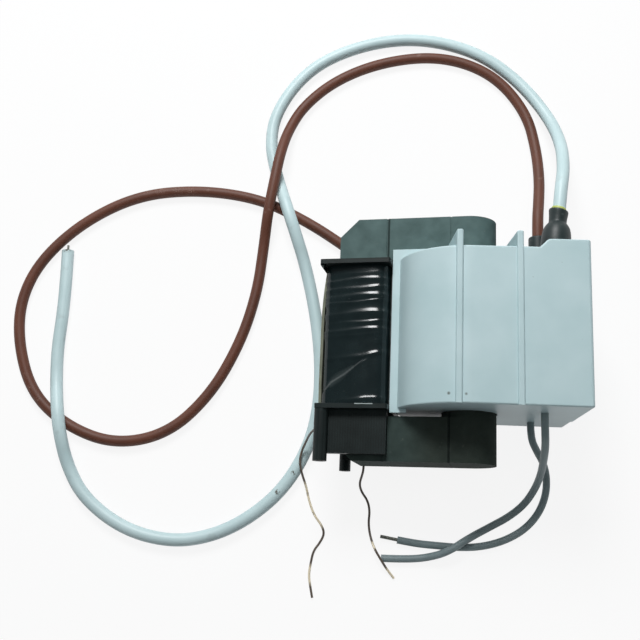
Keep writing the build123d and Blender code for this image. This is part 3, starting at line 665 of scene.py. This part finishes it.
def bobbinFinish():
    # fine draw lines down the skirts, across the core's own turned direction
    material, tree, shader, place, colour, grain, bump = startFinish("bobbin_plastic", bobbinLook)
    turned = addNode(tree, "Mapping")
    turned.inputs["Rotation"].default_value = (0, coreTurn, 0)
    wire(tree, place, turned.inputs["Vector"])
    lines = addNode(tree, "TexWave", wave_type="BANDS", bands_direction="X")
    lines.inputs["Scale"].default_value = bobbinLook["lineScale"]
    lines.inputs["Distortion"].default_value = 3.0
    lines.inputs["Detail"].default_value = 2.0
    wire(tree, turned.outputs["Vector"], lines.inputs["Vector"])
    axes = addNode(tree, "SeparateXYZ")
    wire(tree, place, axes.inputs[0])
    skirts = combine(tree, "LESS_THAN", axes.outputs["Y"], bobbinLook["skirtTop"] * mm)
    drawn = combine(tree, "MULTIPLY", lines.outputs["Fac"], skirts)
    drawn = combine(tree, "MULTIPLY", drawn, bobbinLook["lines"])
    wire(tree, combine(tree, "ADD", grain.outputs["Grain"], drawn), bump.inputs["Height"])
    shader.inputs["Specular IOR Level"].default_value = bobbinLook["specular"]
    colour = mixColour(tree, combine(tree, "MULTIPLY", drawn, 1.6), colour, linear(*bobbinLook["drawn"]))
    # painted highlight: a thin light band on the foot's front top edge
    edgeHighlight = combine(tree, "GREATER_THAN", axes.outputs["Z"], bobbinLook["edgeHighlightAbove"] * mm)
    for socket, low, high in zip(("X", "Y"), bobbinLook["edgeHighlightFrom"], bobbinLook["edgeHighlightTo"]):
        above = combine(tree, "GREATER_THAN", axes.outputs[socket], low * mm)
        below = combine(tree, "LESS_THAN", axes.outputs[socket], high * mm)
        edgeHighlight = combine(tree, "MULTIPLY", edgeHighlight, combine(tree, "MULTIPLY", above, below))
    edgeHighlight = combine(tree, "MULTIPLY", edgeHighlight, bobbinLook["edgeHighlightShare"])
    recolour(tree, shader, edgeHighlight, colour, linear(*bobbinLook["edgeHighlight"]))
    return material


windingLook = {
    "dark": (96, 52, 28), "light": (150, 84, 48), "mottleScale": 300, "grainScale": 3000,
    "roughness": (0.3, 0.42), "bump": 0.6, "metallic": 0.8, "turnScale": 700,
}


def windingFinish():
    # turns of wire, one beside the other along the leg
    material, tree, shader, place, _, _, bump = startFinish("winding_enamel", windingLook)
    shader.inputs["Metallic"].default_value = windingLook["metallic"]
    turns = addNode(tree, "TexWave", wave_type="BANDS", bands_direction="Y")
    turns.inputs["Scale"].default_value = windingLook["turnScale"]
    wire(tree, place, turns.inputs["Vector"])
    wire(tree, turns.outputs["Fac"], bump.inputs["Height"])
    return material


tapeLook = {
    "dark": (16, 28, 30), "light": (23, 36, 38), "mottleScale": 150, "grainScale": 1400,
    "roughness": (0.16, 0.25), "bump": 0.05,
    "dust": (86, 92, 90), "dustMarks": (700, 0.70), "dustShare": 0.35,
    # painted sheen along the lapped flap's edge, a row of soft place marks
    "flapSheen": [
        (-71.3, -19.6, 30.7, 1.7), (-70.6, -19.0, 30.8, 1.9), (-69.9, -18.4, 30.9, 2.1),
        (-69.2, -17.8, 31.0, 2.2), (-68.5, -17.3, 31.2, 2.2), (-67.8, -16.8, 31.3, 2.1),
        (-67.1, -16.3, 31.5, 2.0), (-66.4, -15.8, 31.6, 1.8), (-65.4, -15.1, 31.8, 1.6),
        (-64.4, -14.4, 32.0, 1.4), (-63.4, -13.7, 32.2, 1.2),
    ],
    "scuffAndSheen": (96, 106, 106), "scuffAndSheenShare": 0.30,
}


def tapeFinish():
    material, tree, shader, place, colour, _, _ = startFinish("black_tape", tapeLook)
    dust = combine(tree, "MULTIPLY", scattered(tree, place, *tapeLook["dustMarks"]), tapeLook["dustShare"])
    colour = mixColour(tree, dust, colour, linear(*tapeLook["dust"]))
    # painted sheen: a lighter band along the flap's lapped edge
    flapSheen = combine(tree, "MULTIPLY", atPlaces(tree, place, tapeLook["flapSheen"]), tapeLook["scuffAndSheenShare"])
    recolour(tree, shader, flapSheen, colour, linear(*tapeLook["scuffAndSheen"]))
    return material


boardLook = {
    "dark": (98, 102, 87), "light": (124, 128, 111), "mottleScale": 260, "grainScale": 1800,
    "roughness": (0.7, 0.85), "bump": 0.35,
}


def boardFinish():
    return startFinish("insulation_board", boardLook)[0]


rubberLook = {
    "dark": (20, 32, 33), "light": (31, 46, 47), "mottleScale": 140, "grainScale": 1900,
    "roughness": (0.4, 0.54), "bump": 0.15,
    "dust": (104, 110, 108), "dustMarks": (360, 0.66), "dustShare": 0.2,
}


def rubberFinish():
    material, tree, shader, place, colour, _, _ = startFinish("black_rubber", rubberLook)
    dust = scattered(tree, place, *rubberLook["dustMarks"])
    dust = combine(tree, "MULTIPLY", dust, rubberLook["dustShare"])
    recolour(tree, shader, dust, colour, linear(*rubberLook["dust"]))
    return material


whiteLook = {
    "dark": (191, 215, 218), "light": (203, 226, 229), "mottleScale": 70, "grainScale": 2400,
    "roughness": (0.38, 0.5), "bump": 0.06, "dirt": (86, 84, 76), "dirtMarks": (1500, 0.45),
    "smudges": (150, 0.63), "smudgeShare": 0.12,
    "dirtPlaces": [(-85.3, -50.6, 5.0, 1.1), (-91.1, -58.1, 5.0, 1.3), (-184.4, 38.2, 4.2, 2.2)],
}


def whiteFinish():
    material, tree, shader, place, colour, _, _ = startFinish("white_silicone", whiteLook)
    marks = atPlaces(tree, place, whiteLook["dirtPlaces"])
    specks = scattered(tree, place, *whiteLook["dirtMarks"])
    broken = combine(tree, "MULTIPLY", spread(tree, marks, 0.0, 2.0), specks, True)
    smudge = scattered(tree, place, *whiteLook["smudges"])
    smudge = combine(tree, "MULTIPLY", smudge, whiteLook["smudgeShare"])
    recolour(tree, shader, combine(tree, "MAXIMUM", broken, smudge), colour, linear(*whiteLook["dirt"]))
    return material


brownLook = {
    "dark": (87, 49, 34), "light": (101, 58, 41), "mottleScale": 90, "grainScale": 2400,
    "roughness": (0.5, 0.64), "bump": 0.08,
    "scuffAndSheen": (176, 150, 138), "scuffMarks": (3600, 0.56), "scuffAndSheenShare": 0.6,  # fine, as rubbing is
    "faintMarks": (240, 0.66), "faintShare": 0.16,
    "scuffPlaces": [
        (-153.0, 65.4, 4.4, 3.0), (-147.0, 66.0, 4.4, 4.0), (-140.0, 66.0, 4.4, 3.5),
        (-134.5, 65.0, 4.4, 3.0), (-196.0, -16.0, 4.0, 2.0), (-193.0, -21.0, 4.2, 2.0),
        (-190.0, -25.6, 4.2, 2.0),
    ],
}


def brownFinish():
    material, tree, shader, place, colour, _, _ = startFinish("brown_silicone", brownLook)
    marks = atPlaces(tree, place, brownLook["scuffPlaces"])
    specks = scattered(tree, place, *brownLook["scuffMarks"])
    specks = combine(tree, "MULTIPLY", specks, brownLook["scuffAndSheenShare"])
    broken = combine(tree, "MULTIPLY", spread(tree, marks, 0.0, 1.5), specks, True)
    faint = scattered(tree, place, *brownLook["faintMarks"])
    faint = combine(tree, "MULTIPLY", faint, brownLook["faintShare"])
    recolour(tree, shader, combine(tree, "MAXIMUM", broken, faint), colour, linear(*brownLook["scuffAndSheen"]))
    return material


greyLook = {
    "dark": (121, 138, 141), "light": (135, 152, 155), "mottleScale": 160, "grainScale": 2400,
    "roughness": (0.42, 0.55), "bump": 0.04,
}


def greyFinish():
    return startFinish("grey_insulation", greyLook)[0]


ringLook = {
    "dark": (184, 198, 100), "light": (206, 218, 126), "mottleScale": 300, "grainScale": 2400,
    "roughness": (0.4, 0.5), "bump": 0.08,
}


def ringFinish():
    return startFinish("ring_plastic", ringLook)[0]


pottingLook = {
    "dark": (150, 166, 167), "light": (168, 183, 184), "mottleScale": 50, "grainScale": 900,
    "roughness": (0.22, 0.34), "bump": 0.08,
}


def pottingFinish():
    return startFinish("potting_resin", pottingLook)[0]


tinnedLook = {
    "dark": (88, 92, 88), "light": (132, 134, 126), "mottleScale": 500, "grainScale": 2600,
    "roughness": (0.36, 0.5), "bump": 0.25, "metallic": 0.6, "strandScale": 620,
}


def tinnedFinish():
    # strands twisted round the wire's own run
    material, tree, shader, place, _, _, bump = startFinish("tinned_wire", tinnedLook)
    shader.inputs["Metallic"].default_value = tinnedLook["metallic"]
    strands = addNode(tree, "TexWave", wave_type="BANDS", bands_direction="DIAGONAL")
    strands.inputs["Scale"].default_value = tinnedLook["strandScale"]
    wire(tree, place, strands.inputs["Vector"])
    wire(tree, strands.outputs["Fac"], bump.inputs["Height"])
    return material


copperLook = {
    "dark": (80, 71, 63), "light": (112, 102, 92), "mottleScale": 600, "grainScale": 2600,
    "roughness": (0.3, 0.45), "bump": 0.12, "bare": (238, 226, 198), "bareMetallic": 0.12,
    "barePlaces": [
        (-80.2, -55.5, 0.9, 4.0), (-78.6, -62.0, 0.9, 7.0), (-75.4, -68.0, 0.9, 5.0),
        (-77.4, -88.5, 0.9, 5.5), (-46.5, -87.0, 0.9, 5.0), (-53.6, -76.5, 3.6, 2.5),
    ],
}


def copperFinish():
    # enamel, scraped off in stretches near the ends
    material, tree, shader, place, colour, grain, _ = startFinish("enamelled_copper", copperLook)
    marks = spread(tree, atPlaces(tree, place, copperLook["barePlaces"]), 0.0, 3.0)
    scraped = combine(tree, "SUBTRACT", marks, spread(tree, grain.outputs["Mottle"], 0.2, 1.1), True)
    recolour(tree, shader, scraped, colour, linear(*copperLook["bare"]))
    wire(tree, combine(tree, "MULTIPLY", scraped, copperLook["bareMetallic"]), shader.inputs["Metallic"])
    return material


finishes = {
    "housing_resin": housingFinish(), "potting_resin": pottingFinish(), "ferrite": ferriteFinish(),
    "bobbin_plastic": bobbinFinish(), "winding_enamel": windingFinish(), "black_tape": tapeFinish(),
    "insulation_board": boardFinish(), "black_rubber": rubberFinish(), "ring_plastic": ringFinish(),
    "white_silicone": whiteFinish(), "brown_silicone": brownFinish(), "grey_insulation": greyFinish(),
    "tinned_wire": tinnedFinish(), "enamelled_copper": copperFinish(),
}
slotOf = {part["node"]: part["material_slot"] for part in frame["record"]["subparts"]}
for family in (nodes, leads, pieces):
    for name, piece in family.items():
        dress(piece, finishes[slotOf[name]])
print("finishes on:", len(finishes))


# table, light and background
studio = {
    "lamps": [  # name, place and size in mm, power, whether shiny surfaces show it
        ("keySoftbox", (-171, 498, 569), 260, 4.9, True),
        ("topSoftbox", (-60, 40, 900), 700, 1.45, False),
    ],
    "aim": (-20, 0, 25),
    "skyStrength": 0.1,
    "tableGlow": 0.88,  # share of plain white that the camera sees in the table
    "tablePaper": (0.88, 0.89, 0.9, 1),
    "tableHalf": 3.0,  # metres, as the backdrop's sizes are
    "backdropStart": 2.2, "backdropBend": 0.6, "backdropTop": 1.6,
}


def tableFinish():
    # plain white to the camera and in reflections, mixed with paper that takes the shadow
    surface = bpy.data.materials.new("tableWhite")
    surface.use_nodes = True
    tree = surface.node_tree
    tree.nodes.clear()
    path = addNode(tree, "LightPath")
    seen = combine(tree, "MAXIMUM", path.outputs["Is Camera Ray"], path.outputs["Is Glossy Ray"])
    seen = combine(tree, "MAXIMUM", seen, path.outputs["Is Transmission Ray"])
    glow = addNode(tree, "Emission")
    paper = addNode(tree, "BsdfDiffuse")
    paper.inputs["Color"].default_value = studio["tablePaper"]
    mix = addNode(tree, "MixShader")
    out = addNode(tree, "OutputMaterial")
    wire(tree, combine(tree, "MULTIPLY", seen, studio["tableGlow"]), mix.inputs[0])
    wire(tree, paper.outputs[0], mix.inputs[1])
    wire(tree, glow.outputs[0], mix.inputs[2])
    wire(tree, mix.outputs[0], out.inputs["Surface"])
    return surface


def makeTable():
    # one flat sheet far larger than the view
    across = np.array([-1.0, 1.0]) * studio["tableHalf"]
    grid = np.stack(np.meshgrid(across, across) + [np.zeros((2, 2))], -1)
    return meshFromGrid("table", grid, False)


def makeBackdrop():
    # a quarter-round from the table up into a plain wall, carried once round the middle
    bend = np.linspace(0, math.pi / 2, 20)
    radius = np.append(np.sin(bend), 1) * studio["backdropBend"] + studio["backdropStart"]
    height = np.append((1 - np.cos(bend)) * studio["backdropBend"], studio["backdropTop"])
    around = np.linspace(0, 2 * math.pi, 120, endpoint=False)
    ring = np.stack(np.broadcast_arrays(np.cos(around), np.sin(around), 0 * around), -1)
    grid = radius[:, None, None] * ring + height[:, None, None] * np.array([0.0, 0.0, 1.0])
    return meshFromGrid("backdrop", grid, True)


paperWhite = tableFinish()
for sheet in (makeTable(), makeBackdrop()):
    dress(sheet, paperWhite)
for name, place, size, power, shows in studio["lamps"]:
    lamp = bpy.data.lights.new(name, "AREA")
    lamp.energy = power
    lamp.size = size * mm
    lampBody = bpy.data.objects.new(name, lamp)
    lampBody.location = Vector(place) * mm
    lampBody.visible_glossy = shows
    direction = Vector(studio["aim"]) * mm - lampBody.location
    lampBody.rotation_euler = direction.to_track_quat("-Z", "Y").to_euler()
    sceneNow.collection.objects.link(lampBody)
world = bpy.data.worlds.new("studioSky")
world.use_nodes = True
world.node_tree.nodes["Background"].inputs["Color"].default_value = (1, 1, 1, 1)
world.node_tree.nodes["Background"].inputs["Strength"].default_value = studio["skyStrength"]
sceneNow.world = world
print("studio set")

bpy.context.view_layer.update()
